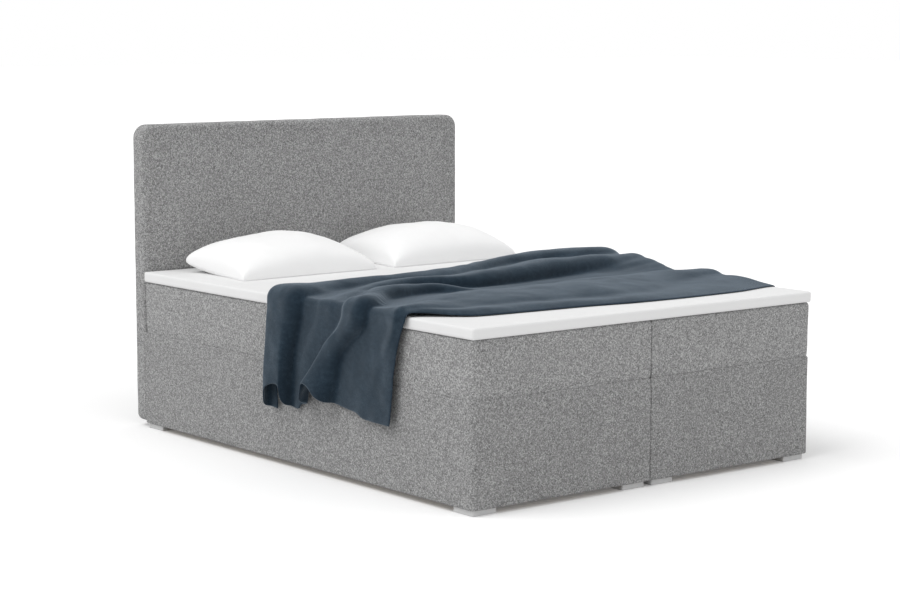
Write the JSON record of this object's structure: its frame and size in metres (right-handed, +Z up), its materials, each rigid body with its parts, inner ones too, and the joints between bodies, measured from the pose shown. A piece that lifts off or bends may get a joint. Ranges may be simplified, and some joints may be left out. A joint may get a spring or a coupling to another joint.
{
  "type": "box spring bed",
  "caption": "Double box spring bed with upholstered headboard, storage chests under lift-up sprung lids, topper, pillows and throw.",
  "frame": {"origin": "middle of the bed's outline box, on the floor", "axes": "+Y from the foot end to the headboard, +X to the right seen from the foot end, +Z up"},
  "size_m": [1.7638, 2.172, 1.208],
  "materials": {
    "upholstery": "grey melange boucle weave, matt",
    "chipboard": "raw chipboard",
    "plywood": "raw plywood",
    "spring_core": "pocket springs in white nonwoven",
    "foam": "cream foam",
    "topper_cloth": "white knitted ticking, matt",
    "pillow_cotton": "white cotton, matt",
    "throw_fleece": "dark slate blue fleece with a soft nap",
    "foot_plastic": "pale silver grey, satin",
    "back_cloth": "dark nonwoven",
    "fitting_steel": "zinc plated",
    "strut_black": "black, semi-gloss",
    "strut_chrome": "polished"
  },
  "bodies": {
    "root": {"left_chest_cover": "upholstery", "left_chest_front_panel": "chipboard", "left_chest_rear_panel": "chipboard", "left_chest_outer_panel": "chipboard", "left_chest_inner_panel": "chipboard", "left_chest_floor": "chipboard", "left_outer_front_foot": "foot_plastic", "left_inner_front_foot": "foot_plastic", "left_outer_rear_foot": "foot_plastic", "left_inner_rear_foot": "foot_plastic", "left_outer_base_plate": "fitting_steel", "left_inner_base_plate": "fitting_steel", "right_chest_cover": "upholstery", "right_chest_front_panel": "chipboard", "right_chest_rear_panel": "chipboard", "right_chest_outer_panel": "chipboard", "right_chest_inner_panel": "chipboard", "right_chest_floor": "chipboard", "right_outer_front_foot": "foot_plastic", "right_inner_front_foot": "foot_plastic", "right_outer_rear_foot": "foot_plastic", "right_inner_rear_foot": "foot_plastic", "right_outer_base_plate": "fitting_steel", "right_inner_base_plate": "fitting_steel", "headboard_upholstery": "upholstery", "headboard_panel": "chipboard", "headboard_back_cloth": "back_cloth"},
    "left_front_links": {"left_outer_front_link": "fitting_steel", "left_inner_front_link": "fitting_steel"},
    "left_lid": {"left_lid_cover": "upholstery", "left_lid_foam_pad": "foam", "left_lid_spring_core": "spring_core", "left_lid_base_board": "plywood", "left_outer_lid_bracket": "fitting_steel", "left_inner_lid_bracket": "fitting_steel"},
    "left_rear_links": {"left_outer_rear_link": "fitting_steel", "left_inner_rear_link": "fitting_steel"},
    "left_strut_cylinders": {"left_outer_strut_cylinder": "strut_black", "left_inner_strut_cylinder": "strut_black"},
    "left_strut_rods": {"left_outer_strut_rod": "strut_chrome", "left_inner_strut_rod": "strut_chrome"},
    "right_front_links": {"right_outer_front_link": "fitting_steel", "right_inner_front_link": "fitting_steel"},
    "right_lid": {"right_lid_cover": "upholstery", "right_lid_foam_pad": "foam", "right_lid_spring_core": "spring_core", "right_lid_base_board": "plywood", "right_outer_lid_bracket": "fitting_steel", "right_inner_lid_bracket": "fitting_steel"},
    "right_rear_links": {"right_outer_rear_link": "fitting_steel", "right_inner_rear_link": "fitting_steel"},
    "right_strut_cylinders": {"right_outer_strut_cylinder": "strut_black", "right_inner_strut_cylinder": "strut_black"},
    "right_strut_rods": {"right_outer_strut_rod": "strut_chrome", "right_inner_strut_rod": "strut_chrome"},
    "topper": {"topper": "topper_cloth"},
    "throw": {"throw": "throw_fleece"},
    "left_pillow": {"left_pillow": "pillow_cotton"},
    "right_pillow": {"right_pillow": "pillow_cotton"}
  },
  "joints": [
    {"name": "left_front_link_hinge", "type": "hinge", "parent": "root", "child": "left_front_links", "pos_m": [0, 0.369, 0.179], "axis": [1, 0, 0], "range_deg": [0, 24.5]},
    {"name": "left_lid_hinge", "type": "hinge", "parent": "left_front_links", "child": "left_lid", "pos_m": [0, 0.715, 0.355], "axis": [1, 0, 0], "range_deg": [-50.6, 0]},
    {"name": "left_rear_link_hinge", "type": "hinge", "parent": "root", "child": "left_rear_links", "pos_m": [0, 0.707, 0.206], "axis": [1, 0, 0], "range_deg": [0, 32.4]},
    {"name": "left_strut_hinge", "type": "hinge", "parent": "root", "child": "left_strut_cylinders", "pos_m": [0, 0.793, 0.085], "axis": [1, 0, 0], "range_deg": [0, 14.7]},
    {"name": "left_strut_slide", "type": "slide", "parent": "left_strut_cylinders", "child": "left_strut_rods", "axis": [0, -0.1414, 0.9899], "range_m": [0, 0.1395]},
    {"name": "right_front_link_hinge", "type": "hinge", "parent": "root", "child": "right_front_links", "pos_m": [0, 0.369, 0.179], "axis": [1, 0, 0], "range_deg": [0, 24.5]},
    {"name": "right_lid_hinge", "type": "hinge", "parent": "right_front_links", "child": "right_lid", "pos_m": [0, 0.715, 0.355], "axis": [1, 0, 0], "range_deg": [-50.6, 0]},
    {"name": "right_rear_link_hinge", "type": "hinge", "parent": "root", "child": "right_rear_links", "pos_m": [0, 0.707, 0.206], "axis": [1, 0, 0], "range_deg": [0, 32.4]},
    {"name": "right_strut_hinge", "type": "hinge", "parent": "root", "child": "right_strut_cylinders", "pos_m": [0, 0.793, 0.085], "axis": [1, 0, 0], "range_deg": [0, 14.7]},
    {"name": "right_strut_slide", "type": "slide", "parent": "right_strut_cylinders", "child": "right_strut_rods", "axis": [0, -0.1414, 0.9899], "range_m": [0, 0.1395]},
    {"name": "topper_lift", "type": "slide", "parent": "left_lid", "child": "topper", "axis": [0, -0.6, 0.8], "range_m": [0, 0.3]},
    {"name": "throw_lift", "type": "slide", "parent": "topper", "child": "throw", "axis": [0, -0.6, 0.8], "range_m": [0, 0.3]},
    {"name": "left_pillow_lift", "type": "slide", "parent": "topper", "child": "left_pillow", "axis": [0, -0.6, 0.8], "range_m": [0, 0.3]},
    {"name": "right_pillow_lift", "type": "slide", "parent": "topper", "child": "right_pillow", "axis": [0, -0.6, 0.8], "range_m": [0, 0.3]}
  ],
  "couplings": [
    {"joint": "left_lid_hinge", "follows": "left_front_link_hinge", "ratio": -2.061},
    {"joint": "left_rear_link_hinge", "follows": "left_front_link_hinge", "ratio": 1.317},
    {"joint": "left_strut_hinge", "follows": "left_front_link_hinge", "ratio": 0.5973},
    {"joint": "left_strut_slide", "follows": "left_front_link_hinge", "m_per_rad": 0.3254},
    {"joint": "right_front_link_hinge", "follows": "left_front_link_hinge", "ratio": 1},
    {"joint": "right_lid_hinge", "follows": "left_front_link_hinge", "ratio": -2.061},
    {"joint": "right_rear_link_hinge", "follows": "left_front_link_hinge", "ratio": 1.317},
    {"joint": "right_strut_hinge", "follows": "left_front_link_hinge", "ratio": 0.5973},
    {"joint": "right_strut_slide", "follows": "left_front_link_hinge", "m_per_rad": 0.3254}
  ]
}
